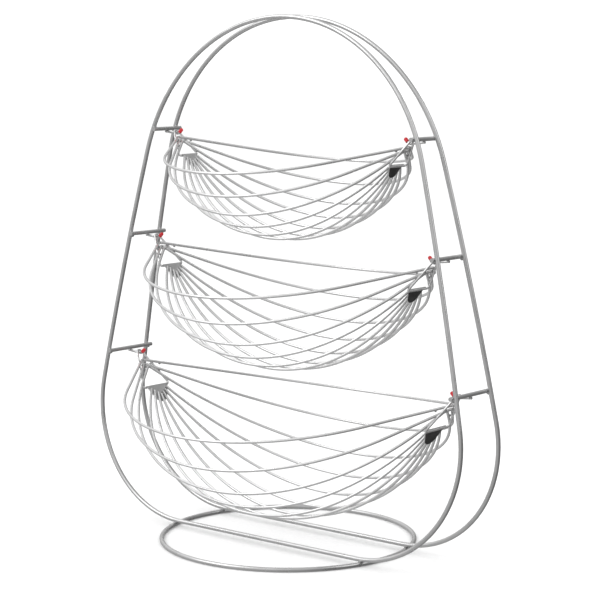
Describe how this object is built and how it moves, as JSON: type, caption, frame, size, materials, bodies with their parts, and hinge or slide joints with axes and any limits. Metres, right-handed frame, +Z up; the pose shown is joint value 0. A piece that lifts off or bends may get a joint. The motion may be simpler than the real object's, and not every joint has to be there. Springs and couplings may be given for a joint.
{
  "type": "three-tier wire fruit basket stand",
  "caption": "Chrome wire countertop stand with hammock-shaped wire baskets, smaller towards the top, that hang on capped hooks between two leaning frame loops over a round base ring.",
  "frame": {"origin": "on the ground at the centre of the base ring, under the middle of the stand", "axes": "+X along the baskets from their left end to their right end, -Y is the front, +Z is up"},
  "size_m": [0.5008, 0.331, 0.56],
  "materials": {
    "wire_chrome": "bright chrome plate, slightly mottled",
    "plate_chrome": "satin chrome-plated sheet",
    "cap_vinyl": "dipped soft vinyl, semi-gloss"
  },
  "bodies": {
    "frame": {"front_frame_loop": "wire_chrome", "back_frame_loop": "wire_chrome", "base_ring": "wire_chrome", "top_left_cross_rod": "wire_chrome", "top_right_cross_rod": "wire_chrome", "top_left_hook": "wire_chrome", "top_right_hook": "wire_chrome", "top_hook_caps": "cap_vinyl", "middle_left_cross_rod": "wire_chrome", "middle_right_cross_rod": "wire_chrome", "middle_left_hook": "wire_chrome", "middle_right_hook": "wire_chrome", "middle_hook_caps": "cap_vinyl", "bottom_left_cross_rod": "wire_chrome", "bottom_right_cross_rod": "wire_chrome", "bottom_left_hook": "wire_chrome", "bottom_right_hook": "wire_chrome", "bottom_hook_caps": "cap_vinyl"},
    "top_basket": {"top_basket_rim_wire": "wire_chrome", "top_basket_upper_side_wire": "wire_chrome", "top_basket_lower_side_wire": "wire_chrome", "top_basket_left_hanger": "wire_chrome", "top_basket_right_hanger": "wire_chrome", "top_basket_left_end_plate": "plate_chrome", "top_basket_right_end_plate": "plate_chrome", "top_basket_rib_1": "wire_chrome", "top_basket_rib_2": "wire_chrome", "top_basket_rib_3": "wire_chrome", "top_basket_rib_4": "wire_chrome", "top_basket_rib_5": "wire_chrome", "top_basket_rib_6": "wire_chrome", "top_basket_rib_7": "wire_chrome"},
    "middle_basket": {"middle_basket_rim_wire": "wire_chrome", "middle_basket_upper_side_wire": "wire_chrome", "middle_basket_lower_side_wire": "wire_chrome", "middle_basket_left_hanger": "wire_chrome", "middle_basket_right_hanger": "wire_chrome", "middle_basket_left_end_plate": "plate_chrome", "middle_basket_right_end_plate": "plate_chrome", "middle_basket_rib_1": "wire_chrome", "middle_basket_rib_2": "wire_chrome", "middle_basket_rib_3": "wire_chrome", "middle_basket_rib_4": "wire_chrome", "middle_basket_rib_5": "wire_chrome", "middle_basket_rib_6": "wire_chrome", "middle_basket_rib_7": "wire_chrome"},
    "bottom_basket": {"bottom_basket_rim_wire": "wire_chrome", "bottom_basket_upper_side_wire": "wire_chrome", "bottom_basket_lower_side_wire": "wire_chrome", "bottom_basket_left_hanger": "wire_chrome", "bottom_basket_right_hanger": "wire_chrome", "bottom_basket_left_end_plate": "plate_chrome", "bottom_basket_right_end_plate": "plate_chrome", "bottom_basket_rib_1": "wire_chrome", "bottom_basket_rib_2": "wire_chrome", "bottom_basket_rib_3": "wire_chrome", "bottom_basket_rib_4": "wire_chrome", "bottom_basket_rib_5": "wire_chrome", "bottom_basket_rib_6": "wire_chrome", "bottom_basket_rib_7": "wire_chrome"}
  },
  "joints": [
    {"name": "top_basket_swing", "type": "hinge", "parent": "frame", "child": "top_basket", "pos_m": [0, 0, 0.43105], "axis": [1, 0, 0], "range_deg": [-30, 30]},
    {"name": "middle_basket_swing", "type": "hinge", "parent": "frame", "child": "middle_basket", "pos_m": [0, 0, 0.31405], "axis": [1, 0, 0], "range_deg": [-30, 30]},
    {"name": "bottom_basket_swing", "type": "hinge", "parent": "frame", "child": "bottom_basket", "pos_m": [0, 0, 0.18005], "axis": [1, 0, 0], "range_deg": [-30, 30]}
  ]
}
